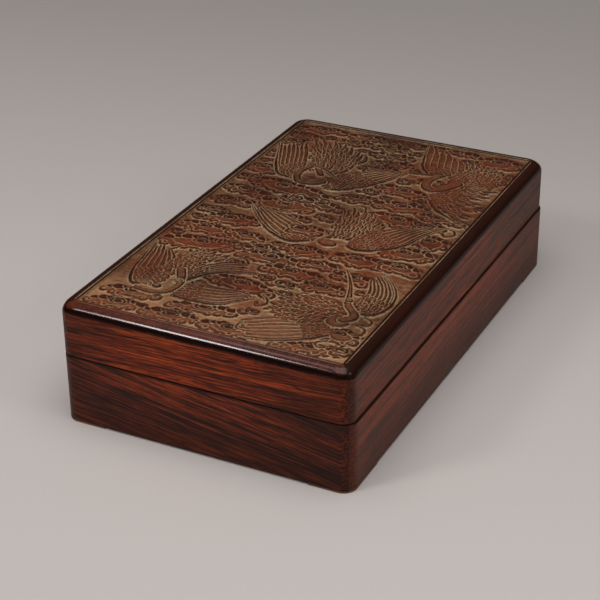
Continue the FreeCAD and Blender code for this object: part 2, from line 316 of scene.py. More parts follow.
def streaks(wood, along, slope, seed):
    """Noise stretched along the grain: fine, middle and broad streaks, pores and veins."""
    turned = wood.stretch(wood.place(), turn=(0, slope, 0) if along == "x" else (-slope, 0, 0))
    wave = wood.noise(wood.stretch(turned, (14, 14, 40), shift=(seed, 0, 0)), detail=2.0)
    wave = wood.times(wave, wave_height, -wave_height / 2)
    x, y, z = wood.parts(turned)
    level = wood.new("CombineXYZ", x, y, wood.plus(z, wave)).outputs[0]
    made = []
    for length, width, detail, shift in streak_layers:
        long, wide = 1 / (grain_length * length), 1 / (grain_width * width)
        stretched = (long, wide, wide) if along == "x" else (wide, long, wide)
        layer = wood.stretch(level, stretched, shift=(seed + shift,) * 3)
        made.append(wood.noise(layer, detail=detail, rough=0.6))
    return made


def wood_finish(piece, along, tones, slope, seed, polish=0.42, contrast=1.0, rough_grain=0.3):
    """A wood with its shader wired. Returns the tree, its colour and its fine streaks."""
    wood = Nodes(bpy.data.materials.new("wood_" + piece))
    fine, middle, broad, pores, veins = streaks(wood, along, slope, seed)
    value = wood.times(fine, 0.72 * contrast, 0.5 - 0.86 * contrast)
    value = wood.times(middle, 0.6 * contrast, value)
    value = wood.times(broad, 0.4 * contrast, value)
    colour = wood.ramp(value, streak_places, tones)
    vein = wood.span(wood.size(wood.minus(veins, 0.5)), 0.006, 0.04, 0.75, 0.0)
    vein = wood.times(vein, wood.span(broad, 0.42, 0.58, 0.25, 1.0))
    colour = wood.tint(colour, wood.times(vein, contrast), tones[0])
    pore = wood.span(pores, 0.55, 0.66)
    colour = wood.tint(colour, wood.times(pore, 0.68), pore_tone)
    rough = wood.span(fine, 0.3, 0.7, polish - 0.06, polish + 0.08)
    bump = wood.bump(wood.times(pore, -0.6, fine), rough_grain, 0.00015)
    wood.finish(Roughness=rough, Specular_IOR_Level=dull_shine, Normal=bump)
    return wood, colour, fine


def dress(board, wood, colour):
    """Gives a wood its colour and puts it in every slot of a CAD piece."""
    wood.finish(Base_Color=colour)
    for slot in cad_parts[board].material_slots:
        slot.material = wood.owner


print("fine streaks", round(grain_length / MM, 2), "by", round(grain_width / MM, 2), "mm")

# %% [markdown]
# ## Dirt, wear and painted shade at the joints
# The outside boards show the same marks: a black line where the lid meets the
# base, which is dirt and painted shade in the gap, a thin dark line down each
# mitred corner, painted shade on the rounded corners and towards the back,
# darker ends on the front boards, a base that is darker towards the bottom, and
# pale worn feet. They could be painted as masks. Each is a distance from a known
# place, so a few sums on the coordinates give them on every board at once. The
# distances are in millimetres.

# %% The marks of age, and painted shade
# How far the seam's dirt and painted shade and the corners' painted shade reach, and one tone for all the
# dirt and painted shade.
seam_dirt_and_shade_reach = 1.5
corner_shade_reach = 14.0
dirt_and_shade_tone = (24, 15, 12)
worn_tone = (150, 118, 92)


def age_and_shade(wood, colour, fine):
    """Adds the seam's line of dirt and painted shade, the mitre lines, painted shade at the corners and at
    the back, the darker front ends and bottom, and the worn feet to a board's colour.
    """
    x, y, z = [wood.times(place, 1 / MM) for place in wood.parts(wood.place())]
    ragged = wood.times(fine, 1.6, -0.8)
    side = wood.minus(wood.size(x), base_half_x)
    end = wood.minus(wood.size(y), base_half_y)
    corner = wood.times(ragged, 2.0, wood.math("MINIMUM", side, end))
    past_mitre = wood.minus(side, end)
    seam = wood.plus(wood.size(wood.minus(z, seam_z)), ragged)
    ends = wood.times(ragged, 12.0, x)
    front_ends = wood.most(wood.span(ends, 20.0, 80.0, 0.0, 0.52), wood.span(ends, -80.0, -20.0, 0.42, 0.0))
    # The seam's line is dirt and painted shade in the gap. The corners and the back get painted shade. The
    # front boards' ends and the base's bottom are only darker. The mitre lines are dirt.
    dark = wood.most(
        wood.span(seam, 0.2, seam_dirt_and_shade_reach, 0.9, 0.0),
        wood.span(wood.times(ragged, 6.0, z), 8.0, seam_z, 0.62, 0.0),
        wood.span(wood.size(past_mitre), 0.1, 0.5, 0.75, 0.0),
        wood.span(corner, -corner_shade_reach, -2.0, 0.0, 0.62),
        wood.times(front_ends, wood.span(past_mitre, -3.0, 0.5, 1.0, 0.0)),
        wood.span(y, 30.0, 140.0, 0.0, 0.5),
    )
    colour = wood.tint(colour, dark, dirt_and_shade_tone)
    return wood.tint(colour, wood.span(wood.plus(z, ragged), 0.3, 1.6, 0.55, 0.0), worn_tone)


# The reach of the seam's dirt and painted shade, and of the corners' painted shade.
print("dirt within about", seam_dirt_and_shade_reach, "mm of the seam and", corner_shade_reach, "mm of a corner")

# %% The outside boards
lid_tones = ((34, 16, 12), (88, 34, 16), (142, 54, 22), (188, 80, 34))
base_tones = ((34, 19, 15), (78, 34, 21), (126, 49, 24), (164, 70, 36))
# Painted light: the right side's boards get brighter, greyer tones than the front's, and the base's right
# board is the brightest.
right_side_painted_light_tones = ((46, 28, 23), (96, 46, 29), (130, 60, 36), (160, 82, 49))
base_right_painted_light_tones = ((60, 34, 27), (112, 53, 34), (150, 70, 44), (178, 94, 58))
outside_boards = (
    ("lid_front_board", "x", lid_tones, 0.02, 1.0),
    ("lid_back_board", "x", lid_tones, -0.05, 1.0),
    ("lid_left_board", "y", lid_tones, 0.03, 1.0),
    ("lid_right_board", "y", right_side_painted_light_tones, 0.02, 1.0),
    ("base_front_board", "x", base_tones, -0.154, 1.0),
    ("base_back_board", "x", base_tones, -0.08, 1.0),
    ("base_left_board", "y", base_tones, 0.06, 1.0),
    ("base_right_board", "y", base_right_painted_light_tones, 0.02, 0.7),
)
for seed, (board, along, tones, slope, contrast) in enumerate(outside_boards, 1):
    wood, colour, fine = wood_finish(board, along, tones, slope, seed, contrast=contrast)
    dress(board, wood, age_and_shade(wood, colour, fine))
print("outside boards", len(outside_boards))

# %% [markdown]
# ## The inside
# The photograph shows the box shut, so the inside is a guess: plain boards of
# the same wood, paler and less worn, because hands and light have not reached
# them. The bed that holds the stone is stained with ink. The tray's wood runs
# the short way.

# %% The inside boards
inside_tones = ((50, 31, 25), (88, 45, 29), (114, 57, 36), (142, 78, 48))
tray_tones = ((78, 46, 28), (122, 76, 46), (148, 98, 62), (172, 124, 82))
panel_tones = ((52, 32, 24), (80, 50, 36), (102, 66, 48), (124, 86, 62))
inside_slope, inside_polish = 0.02, 0.5
inside_boards = (
    ("x", inside_tones, ("lining_front", "lining_back")),
    ("y", inside_tones, ("lining_left", "lining_right")),
    ("x", inside_tones, ("well_divider",)),
    ("y", inside_tones, ("tray_ledge_left", "tray_ledge_right")),
    ("y", panel_tones, ("stone_bed", "base_bottom_panel")),
    ("x", tray_tones, ("tray_bottom", "tray_front", "tray_back")),
    ("y", tray_tones, ("tray_left", "tray_right")),
    ("x", tray_tones, ("tray_rib_front", "tray_rib_back")),
)
seed = 10
for along, tones, boards in inside_boards:
    for board in boards:
        wood, colour, _ = wood_finish(board, along, tones, inside_slope, seed, polish=inside_polish)
        dress(board, wood, colour)
        seed += 1
print("inside boards", seed - 10)

# %% [markdown]
# ## The carving, drawn as a height field
# The lid's field is one board cut down about a millimetre and a half, with
# cranes and clouds left standing. A carver works from a few moves: leave a
# shape standing, round its shoulder, cut a moat round it, and draw lines in it.
# It could be sculpted by hand, or booleaned from curves. Here each move is a
# small function on a grid of heights, because a grid takes a thousand cuts in
# a second, gives the same result each run, and turns into a mesh at the end.
# Heights are millimetres below the plain border, which is zero.

# %% The grid of heights
coarse_across = 79
coarse_along = 139
fine_per_coarse = 5
field_half_x = 78.75
field_half_y = 139.25
ground_depth = 1.45

columns = np.linspace(-field_half_x, field_half_x, coarse_across * fine_per_coarse + 1)
rows = np.linspace(-field_half_y, field_half_y, coarse_along * fine_per_coarse + 1)
pitch = columns[1] - columns[0]
relief = np.full((len(rows), len(columns)), -ground_depth)
stained = np.zeros_like(relief)
print("relief grid", relief.shape, "pitch in mm", round(float(pitch), 3))


# %% Windows and distances
def window(points, margin):
    """The slices of the grid round some points, and the grid's x and y there."""
    points = np.asarray(points, float)
    low = points.min(0) - margin
    high = points.max(0) + margin
    c0, c1 = np.searchsorted(columns, (low[0], high[0]))
    r0, r1 = np.searchsorted(rows, (low[1], high[1]))
    x, y = np.meshgrid(columns[c0:c1], rows[r0:r1])
    return (slice(r0, r1), slice(c0, c1)), x, y


def around(cx, cy, margin):
    """The window round one point, with distances from that point."""
    where, x, y = window([(cx, cy)], margin)
    return where, x - cx, y - cy


def turned(dx, dy, turn):
    """Distances along a direction, and to the left of it."""
    ux, uy = np.cos(turn), np.sin(turn)
    return dx * ux + dy * uy, -dx * uy + dy * ux


def oval(dx, dy, width, height):
    """One on an oval's rim, less inside it."""
    return np.hypot(dx / (width / 2), dy / (height / 2))


def curve(points, steps=6):
    """A smooth line through given points."""
    p = np.asarray(points, float)
    p = np.vstack([2 * p[0] - p[1], p, 2 * p[-1] - p[-2]])
    t = np.linspace(0, 1, steps, endpoint=False)[:, None]
    pieces = []
    for a, b, c, d in zip(p[:-3], p[1:-2], p[2:-1], p[3:]):
        pieces.append(b + (c - a) * t / 2 + (2 * a - 5 * b + 4 * c - d) * t**2 / 2
                      + (3 * b - 3 * c + d - a) * t**3 / 2)
    return np.vstack(pieces + [p[-2:-1]])


def line_distance(x, y, path):
    """Distance to a path, and how far along it the nearest point is, from 0 to 1."""
    steps = np.hypot(*np.diff(path, axis=0).T)
    start = np.concatenate([[0], np.cumsum(steps)])
    best = np.full(x.shape, np.inf)
    place = np.zeros(x.shape)
    for (ax, ay), (bx, by), length, before in zip(path[:-1], path[1:], steps, start):
        if length < 1e-9:
            continue
        ux, uy = (bx - ax) / length, (by - ay) / length
        s = np.clip((x - ax) * ux + (y - ay) * uy, 0, length)
        d = np.hypot(x - ax - s * ux, y - ay - s * uy)
        nearer = d < best
        best = np.where(nearer, d, best)
        place = np.where(nearer, before + s, place)
    return best, place / start[-1]


def along_path(path, margin):
    """The window round a path, the distance to it, and how far along it each point is."""
    where, x, y = window(path, margin)
    return where, *line_distance(x, y, path)


def inside(x, y, outline):
    """True inside a closed outline, by counting crossings."""
    odd = np.zeros(x.shape, bool)
    ax, ay = outline[-1]
    for bx, by in outline:
        if ay != by:
            crossing = (ay > y) != (by > y)
            odd ^= crossing & (x < (bx - ax) * (y - ay) / (by - ay) + ax)
        ax, ay = bx, by
    return odd


def outline_distance(x, y, outline):
    """Signed distance to a closed outline, negative inside."""
    closed = np.vstack([outline, outline[:1]])
    d, _ = line_distance(x, y, closed)
    return np.where(inside(x, y, closed), -d, d)


print("grid points within 5 mm of the middle", around(0, 0, 5)[1].size)

# %% The carver's moves
deepest = -ground_depth - 0.1


def leave_standing(where, distance, top, shoulder=0.7, drop=0.35, moat=0.8, stain=0.6):
    """Leaves a shape at its top height, rounds its shoulder and cuts a moat round it."""
    here = relief[where]
    stained[where] = np.where(distance <= 0, stain, stained[where] * np.clip(distance / moat, 0, 1))
    edge = np.clip(1 + distance / shoulder, 0, 1)
    height = top - drop * edge**2
    gap = np.clip(distance / moat, 0, 1)
    sunk = -ground_depth + (here + ground_depth) * gap**3
    relief[where] = np.where(distance <= 0, height, np.minimum(here, sunk))


def engrave(path, width, depth, fade=0.0):
    """Cuts a line with a round bottom. With fade its ends run out to nothing."""
    where, d, place = along_path(path, 3 * width)
    ends = np.clip(np.minimum(place, 1 - place) / fade, 0, 1) if fade else 1.0
    cut = relief[where] - depth * np.exp(-(d / width) ** 2) * ends
    relief[where] = np.maximum(cut, deepest)


def blade(path, width, top, tip=0.3):
    """A long feather: a rounded strip that narrows to its tip."""
    rise, moat = 0.45, 0.55
    where, d, place = along_path(path, width + moat)
    half = width / 2 * np.clip((1 - place) / tip, 0.12, 1) ** 0.5
    distance = d - half
    here = relief[where]
    height = top - rise * np.clip(d / half, 0, 1) ** 2
    gap = np.clip(distance / moat, 0, 1)
    floor = top - rise - 0.45
    sunk = floor + (here - floor) * gap**2
    relief[where] = np.where(distance <= 0, height, np.minimum(here, sunk))
    stained[where] = np.where(distance <= 0, 0.35 + 0.3 * place, stained[where])


def scale(cx, cy, direction, length, width, top):
    """A short feather or scale, high at its round tip and sunk at its root."""
    rise = 0.42
    where, dx, dy = around(cx, cy, max(length, width))
    along, side = turned(dx, dy, direction)
    share = along / (length / 2)
    narrowing = 1 - 0.45 * np.clip(share, -1, 1)
    q = share**2 + (side / (width / 2 * narrowing)) ** 2
    vein = 0.16 * np.exp(-((side / 0.3) ** 2))
    height = top - rise * (0.55 - 0.5 * share) - rise * 0.5 * q**2 - vein
    edge = (q > 1) & (q < 1.4) & (along > -length / 4)
    here = relief[where]
    lowered = np.minimum(here, top - 2.0 * rise)
    relief[where] = np.where(q <= 1, height, np.where(edge, lowered, here))
    stained[where] = np.where(q <= 1, 0.75, stained[where])


def pit(cx, cy, radius, depth):
    """A small round hole."""
    where, dx, dy = around(cx, cy, 2.5 * radius)
    relief[where] -= depth * np.exp(-((dx**2 + dy**2) / radius**2))


def blur(heights, radius):
    """Smooths a grid over a radius in millimetres."""
    reach = int(3 * radius / pitch)
    weights = np.exp(-((np.arange(-reach, reach + 1) * pitch / radius) ** 2))
    weights /= weights.sum()
    smooth = np.pad(heights, reach, mode="edge")
    smooth = sum(w * smooth[i:i + len(rows), :] for i, w in enumerate(weights))
    return sum(w * smooth[:, i:i + len(columns)] for i, w in enumerate(weights))


def standing():
    """The share of the field that stands above the ground, in per cent."""
    return round(100 * float((relief > 0.2 - ground_depth).mean()), 1)


print("standing", standing(), "% of the field, and engraving stops at", round(deepest, 2), "mm")

# %% [markdown]
# ## Clouds
# Each cloud is a low bank with a scalloped lower edge, a line that follows
# that edge inside it, a row of round lobes above and one larger lobe like an
# eye, the common cloud of old woodwork. It could be drawn as one outline. A
# row of overlapping discs gives the scallops instead, and a soft union of them
# gives the inner lines for nothing. The far side of a bank sinks under the one
# behind it.

# %% A cloud
softness = 0.75
scallop_pitch = 6.5
line_inset = 2.7


def cloud(x0, y0, width, height, eye, top=-0.25):
    """A bank of cloud. Its eye has a place, as a share of half the width, and a size."""
    count = max(2, int(round(width / scallop_pitch)))
    radius = 0.62 * width / count
    tilt = 0.14 * np.sin(1.7 * x0 + 0.9 * y0)
    where, x, y = window([(x0 - width / 2, y0 - height / 2), (x0 + width / 2, y0 + height / 2)], 3.5)
    dx = x - x0
    dy = y - y0 - tilt * dx
    core_x, core_y = width / 2 - 0.7 * radius, height / 2 - 0.4 * radius
    distance = (np.hypot(dx / core_x, dy / core_y) - 1) * core_y
    pull = np.exp(-distance / softness)
    for i in range(count):
        turn = np.pi * (i + 0.5 + 0.2 * np.sin(3.1 * i + x0)) / count
        px = -(width / 2 - 0.9 * radius) * np.cos(turn)
        py = -(height / 2 - 0.85 * radius) * np.sin(turn) ** 0.6
        disc = np.hypot(dx - px, dy - py) - radius * (0.88 + 0.22 * np.sin(2.3 * i + 0.7 * x0))
        distance = np.minimum(distance, disc)
        pull += np.exp(-np.maximum(disc, -8.0) / softness)
    leave_standing(where, distance, top - 0.15, shoulder=1.2, drop=0.4, moat=0.6, stain=0.7)
    soft = -softness * np.log(pull)
    low = np.clip(0.6 - 1.6 * dy / height, 0, 1) * (distance < -0.35)
    relief[where] -= 0.7 * np.exp(-(((soft + line_inset) / 0.5) ** 2)) * low
    for i in range(count + 1):
        share = 2 * ((i + 0.5) / (count + 1)) - 1
        across = (width / 2 - 2.6) * share
        rise = (height / 2 - 2.4) * np.sqrt(max(1 - share**2, 0.0))
        size = 7.2 + 1.6 * np.sin(2.9 * i + x0)
        lobe(x0 + across, y0 + rise + tilt * across, size, 0.84 * size, top)
    across, size = eye[0] * width / 2, eye[1]
    cloud_eye(x0 + across, y0 + 0.12 * height + tilt * across, 1.35 * size, 0.86 * size, top)


def loop(where, q, height, share=1.0):
    """Cuts an oval line where q is one, wide enough to see from a low angle."""
    relief[where] -= 0.6 * np.exp(-(((q - 1) * height / 1.1) ** 2)) * share * (relief[where] > -1.3)


def lobe(x0, y0, width, height, top):
    """A round lobe that lies over what is behind it, with a cut round it."""
    where, dx, dy = around(x0, y0, width)
    q = oval(dx, dy, width, height)
    here = relief[where]
    inside_it = np.clip((1.0 - q) / 0.12, 0, 1)
    dome = top - 0.06 - 0.3 * q**2
    relief[where] = here + (dome - here) * inside_it * (here > -1.3)
    loop(where, q / 1.02, height)
    stained[where] = np.where(q < 0.9, 1.0, stained[where])


def cloud_eye(x0, y0, width, height, top):
    """A larger lobe with a second ring in it that stays open above."""
    lobe(x0, y0, width, height, top)
    where, dx, dy = around(x0, y0, width)
    dx, dy = dx / (width / 2), dy / (height / 2)
    q = np.hypot(dx + 0.06 * np.sin(x0), dy + 0.08) / 0.55
    loop(where, q, 0.55 * height, np.clip(1.1 - dy, 0, 1))


def curl(points):
    """A small cloud tail: a strip that ends in a round knob."""
    width, top = 2.0, -0.3
    path = curve(points)
    where, d, place = along_path(path, width + 1)
    leave_standing(where, d - width / 2 * (0.45 + 0.75 * place), top, moat=0.6)
    engrave(path, 0.3, 0.3, fade=0.25)
    pit(*path[-1], 0.5, 0.5)


print("a scallop each", scallop_pitch, "mm, and its inner line", line_inset, "mm in")

# %% [markdown]
# ## Cranes
# Five flying cranes fill the field, the usual birds of long life. Each has two
# wings of long blades with rows of short covert feathers at the root, a scaled
# body, fans of tail feathers, a bent neck, a round eye and a long bill. Every
# bird lies differently, so the outlines are short lists of given points, and
# functions fill them with feathers. Drawing each feather by hand would take
# thousands of points, and a repeated stamp would look printed.

# %% Feathers between two edges
hand = np.random.default_rng(7)
wing_top, wing_scale = -0.25, 3.5
wing_steps, fan_steps = 24, 40
fan_top = -0.25
fan_rows = ((0.5, 1.0), (0.22, 0.68), (-0.05, 0.38))
body_top = -0.2


def evenly(points, count):
    """A smooth line through points, as so many points with even steps."""
    path = curve(points)
    steps = np.hypot(*np.diff(path, axis=0).T)
    place = np.concatenate([[0], np.cumsum(steps)]) / steps.sum()
    even = np.linspace(0, 1, count)
    return np.stack([np.interp(even, place, path[:, k]) for k in (0, 1)], 1)


def wing(edge, back, blades, covert):
    """A wing from its shoulder to its tip: long blades, coverts and a smooth leading edge."""
    edge, back = evenly(edge, wing_steps), evenly(back, wing_steps)

    def between(share):
        """A line that lies a share of the way from the leading edge to the back."""
        return edge * (1 - share) + back * share

    root = np.vstack([edge[:14], back[:14][::-1]])
    where, x, y = window(np.vstack([edge, back]), 2)
    leave_standing(where, outline_distance(x, y, root), wing_top - 0.1)
    start = int(wing_steps * covert * 0.7)
    spread = np.linalg.norm(edge[16] - back[16])
    for i in range(blades - 1, -1, -1):
        end = wing_steps - (i * 2) % 3
        blade(between((i + 0.5) / blades)[start:end], 1.25 * spread / blades, wing_top)
    length = np.hypot(*np.diff(between(0.5), axis=0).T).sum()
    covert_rows = max(2, int(covert * length / (0.75 * wing_scale)))
    for r in range(covert_rows - 1, -1, -1):
        k = min(int(covert * (r + 0.5) / covert_rows * (wing_steps - 1)), wing_steps - 2)
        count = max(2, int(np.linalg.norm(back[k] - edge[k]) / (0.8 * wing_scale)))
        for j in range(count):
            path = between((j + 0.5 + 0.5 * (r % 2)) / (count + 0.5))
            heading = np.arctan2(*(path[k + 1] - path[k])[::-1]) + hand.uniform(-0.25, 0.25)
            place = path[k] + hand.uniform(-0.3, 0.3, 2)
            long, broad = hand.uniform(1.35, 1.75) * wing_scale, hand.uniform(0.75, 1.05) * wing_scale
            scale(*place, heading, long, broad, wing_top + 0.1)
    leading_edge(between(0.02), wing_top + 0.15)


def leading_edge(path, top, width=2.0):
    """The smooth front rim of a wing, with a line cut along it."""
    where, d, place = along_path(path, width + 1)
    distance = d - width / 2 * np.clip(1.5 * (1 - place), 0.3, 1)
    leave_standing(where, distance, top, shoulder=0.9, drop=0.45, moat=0.7)


def fan(roots, tips, count, width):
    """Three rows of short feathers that spread from a root line to a tip line, like flames."""
    inner, outer = evenly(roots, fan_steps), evenly(tips, fan_steps)
    for row, (start, end) in enumerate(fan_rows):
        many = count - row
        for i in range(many):
            share = (i + 0.5 + hand.uniform(-0.2, 0.2)) / many
            k = int(np.clip(share * (fan_steps - 1), 0, fan_steps - 1))
            a, reach = inner[k], outer[k] - inner[k]
            stop = end * (1 - 0.1 * (i % 2)) + hand.uniform(-0.04, 0.04)
            bend = hand.uniform(0.02, 0.1) * np.array([reach[1], -reach[0]])
            low, high = a + reach * start, a + reach * stop
            path = curve([low, (low + high) / 2 + bend, high])
            blade(path, width * (1.1 - 0.12 * row), fan_top + 0.05 * row, tip=0.55)
            engrave(path[:-2], 0.24, 0.2, fade=0.2)


def scaled_body(x0, y0, half_long, half_wide, heading, size):
    """A plump body covered with round scales that point to the tail."""
    turn = np.radians(heading)
    where, dx, dy = around(x0, y0, max(half_long, half_wide) + 1.5)
    along, side = turned(dx, dy, turn)
    q = np.hypot(along / half_long, side / half_wide)
    distance = (q - 1) * min(half_long, half_wide)
    leave_standing(where, distance, body_top - 0.15, shoulder=2.5, drop=0.5)
    ux, uy = np.cos(turn), np.sin(turn)
    steps = int(2 * half_long / (0.78 * size))
    for r in range(steps - 1, -1, -1):
        a = -half_long + (r + 0.5) * 2 * half_long / steps
        wide = half_wide * np.sqrt(max(0.0, 1 - (a / half_long) ** 2))
        count = int(2 * wide / (0.85 * size))
        for j in range(count):
            s = -wide + (j + 0.5 + 0.35 * (r % 2)) * 2 * wide / (count + 0.35)
            place = np.array([x0 + a * ux - s * uy, y0 + a * uy + s * ux]) + hand.uniform(-0.45, 0.45, 2)
            pointing = turn + 0.5 * s / half_wide + hand.uniform(-0.3, 0.3)
            long, broad = hand.uniform(1.35, 1.9) * size, hand.uniform(0.75, 1.05) * size
            scale(*place, pointing, long, broad, body_top)


print("a fan has", len(fan_rows), "rows, and a covert is up to", round(1.05 * wing_scale, 1), "mm wide")

# %% Necks, heads and bills
breast_top, neck_top, head_top, comb_top = -0.1, -0.15, -0.05, -0.2


def breast(x0, y0, width, height, heading):
    """A smooth round breast, marked with fine lines."""
    where, dx, dy = around(x0, y0, max(width, height))
    distance = (oval(dx, dy, width, height) - 1) * min(width, height) / 2
    leave_standing(where, distance, breast_top, shoulder=1.6, drop=0.5, moat=1.0)
    turn = np.radians(heading)
    long, wide = (width, height) if heading in (0, 180) else (height, width)
    for i in range(-4, 5):
        side = 0.095 * i * wide
        half = 0.36 * long * (1 - 0.12 * abs(i) / 2)
        middle = np.array([x0 - side * np.sin(turn), y0 + side * np.cos(turn)])
        reach = half * np.array([np.cos(turn), np.sin(turn)])
        engrave(np.array([middle - reach, middle + reach]), 0.28, 0.16, fade=0.2)


def neck(points, root_width, head_width, hatch=6):
    """A bent neck that narrows to the head, cross-hatched where it joins it."""
    path = curve(points, 8)
    where, d, place = along_path(path, root_width + 1)
    distance = d - (root_width + (head_width - root_width) * place) / 2
    leave_standing(where, distance, neck_top, shoulder=1.0, drop=0.45, moat=1.0)
    normal = np.stack([-np.gradient(path[:, 1]), np.gradient(path[:, 0])], 1)
    normal /= np.linalg.norm(normal, axis=1)[:, None]
    for offset in (-0.55, 0.0, 0.55):
        engrave(path + normal * offset * root_width * 0.36, 0.28, 0.16, fade=0.15)
    for i in range(hatch):
        k = int((0.80 + 0.19 * i / hatch) * (len(path) - 1))
        reach = normal[k] * head_width * 0.42
        engrave(np.array([path[k] - reach, path[k] + reach]), 0.26, 0.3)


def head(x0, y0, heading, bill_length, size=4.4, bend=0.08):
    """A round head with an eye, and a long pointed bill with a line along it."""
    turn = np.radians(heading)
    tip = np.array([x0 + bill_length * np.cos(turn), y0 + bill_length * np.sin(turn)])
    middle = (np.array([x0, y0]) + tip) / 2 + bend * bill_length * np.array([-np.sin(turn), np.cos(turn)])
    path = curve([(x0, y0), middle, tip], 10)
    where, d, place = along_path(path, size)
    bill = d - size * 0.36 * (1 - 0.85 * place)
    leave_standing(where, bill, head_top, shoulder=0.6, drop=0.4, moat=1.0)
    engrave(path, 0.26, 0.35, fade=0.1)
    where, dx, dy = around(x0, y0, size)
    eye = np.hypot(dx, dy)
    leave_standing(where, eye - size / 2, head_top, shoulder=1.0, drop=0.4)
    relief[where] -= 0.4 * np.exp(-(((eye - 1.05) / 0.3) ** 2))
    pit(x0, y0, 0.35, 0.35)


def comb(x0, y0, width, height, count):
    """A small patch of upright hairs, as on a crown."""
    where, dx, dy = around(x0, y0, max(width, height))
    distance = (oval(dx, dy, width, height) - 1) * height / 2
    leave_standing(where, distance, comb_top, shoulder=0.8, moat=0.6, stain=0.3)
    for across in np.linspace(-0.42, 0.42, count) * width:
        line = np.array([(x0 + across, y0 - 0.42 * height), (x0 + across + 0.4, y0 + 0.42 * height)])
        engrave(line, 0.28, 0.45)


print("below the border: head", -head_top, "breast", -breast_top, "neck", -neck_top, "mm")

# %% [markdown]
# ## The layout
# The places below are read off the lid in millimetres from its middle. Clouds
# lie behind the birds, so they are cut first, from the back of the lid to the
# front, and each bird then cuts its own moat through them. The other way round
# the clouds would run over the wings.

# %% Clouds on the field
one, pair, three, four = (-0.2, 7.5), (-0.15, 7.5), (0.0, 8.0), (-0.18, 8.5)

clouds = (
    (-61, 132, 38, 14, three), (-29, 132, 31, 14, pair), (0, 133, 30, 13, pair),
    (31, 134, 38, 12, three), (62, 128, 34, 21, three), (-68, 119, 24, 14, pair),
    (-33, 121, 27, 13, pair), (-8, 122, 27, 13, pair), (-70, 107, 18, 15, one),
    (-3, 111, 34, 13, three), (3, 100, 31, 13, pair), (-2, 89, 30, 15, pair),
    (45, 122, 12, 13, one), (75, 106, 9, 20, one), (24, 64, 40, 17, three),
    (49, 64, 20, 12, pair), (42, 53, 20, 12, one), (-69, 60, 23, 18, pair),
    (-68, 45, 24, 13, pair), (-40, 39, 62, 21, four), (-63, 26, 34, 15, pair),
    (-33, 16, 46, 20, three), (-11, 26, 30, 15, pair), (-64, 9, 32, 14, pair),
    (4, 43, 30, 15, pair), (33, 43, 42, 17, three), (60, 37, 34, 14, pair),
    (37, 25, 44, 18, three), (58, 25, 22, 14, one), (52, 11, 18, 14, one),
    (67, 6, 25, 21, one), (-68, -7, 24, 14, one), (-51, -14, 38, 18, pair),
    (-59, -31, 42, 17, pair), (-33, -30, 30, 14, pair), (-17, -41, 26, 14, one),
    (5, -34, 31, 17, pair), (60, -13, 36, 19, pair), (39, -32, 36, 18, pair),
    (64, -31, 29, 17, pair), (-54, -50, 50, 20, three), (-9, -50, 42, 17, three),
    (12, -61, 42, 16, pair), (21, -46, 26, 14, one), (35, -70, 32, 15, pair),
    (-8, -85, 48, 18, three), (-58, -118, 38, 15, three), (-14, -118, 42, 15, three),
    (23, -119, 26, 13, pair), (66, -114, 25, 19, one), (-59, -132, 38, 15, three),
    (-26, -132, 37, 15, three), (9, -132, 38, 15, three), (56, -132, 42, 15, three),
    (46, -53, 32, 15, pair), (-24, -63, 18, 12, one), (73, -128, 12, 12, one),
    (-20, 3, 28, 12, pair), (34, 84, 20, 14, one), (-75, 84, 10, 14, one),
    (-29, 28, 26, 12, pair), (24, 13, 26, 13, pair), (-33, -43, 24, 11, pair),
)
small_clouds = (
    (-3, 11, 17, 11), (12, -75, 19, 10), (20, 79, 14, 10), (11, -110, 13, 8), (5, 56, 17, 10),
    (-52, 122, 12, 9), (-73, -41, 11, 9), (-1, -72, 14, 8), (18, -84, 12, 8), (-74, 73, 9, 8),
    (-73, -18, 11, 8), (56, -66, 10, 8), (10, 121, 12, 8), (-12, -31, 11, 7), (75, 61, 8, 9),
    (20, 96, 10, 8), (19, 52, 10, 7), (-31, -92, 9, 7), (-23, 112, 9, 7),
)
for cloud_place in clouds:
    cloud(*cloud_place)
for x, y, width, height in small_clouds:
    cloud(x, y, width, height, (0, 0.42 * width))
print("clouds", len(clouds) + len(small_clouds), "on", standing(), "% of the field")

# %% Curled tails of cloud
tails = (
    ((68, 27), (73, 26), (75, 21), (71, 17), (68, 20)),
    ((-60, -58), (-64, -64), (-62, -70), (-60, -66)),
    ((-24, -58), (-20, -57), (-16, -61), (-18, -66), (-21, -63)),
    ((8, -90), (13, -94), (15, -99), (11, -103), (9, -99)),
    ((69, -90), (74, -93), (74, -98), (70, -99)),
    ((68, -100), (74, -102), (75, -108), (71, -110)),
    ((62, -121), (57, -125), (60, -129), (64, -127)),
    ((10, 35), (14, 33), (14, 28), (11, 26)),
    ((17, -122), (12, -124), (13, -129), (17, -128)),
    ((40, 116), (42, 121), (45, 118), (47, 112)),
)
for points in tails:
    curl(points)
print("tails of cloud", len(tails))

# %% The crane at the back left
fan(((-47, 78), (-36, 80), (-22, 74)), ((-62, 116), (-40, 116), (-15, 104)), 13, width=3.4)
fan(((-42, 70), (-34, 74), (-24, 68)), ((-50, 96), (-36, 98), (-17, 88)), 10, width=3.2)
wing(
    ((-49, 54), (-57, 56), (-64, 66), (-70, 80), (-79, 102)),
    ((-46, 64), (-48, 76), (-53, 90), (-60, 106)), 7, 0.35,
)
wing(
    ((-16, 48), (-9, 51), (1, 60), (8, 71), (14, 83), (17, 91)),
    ((-27, 56), (-24, 66), (-17, 75), (-6, 82), (6, 88)), 6, 0.55,
)
neck(((-32, 66), (-40, 76), (-45, 70), (-45, 59), (-39, 51), (-30, 52), (-26, 56)), 4.2, 5.2, hatch=0)
head(-43, 77.5, -30, 27)
print("with the crane at the back left, carved on", standing(), "% of the field")

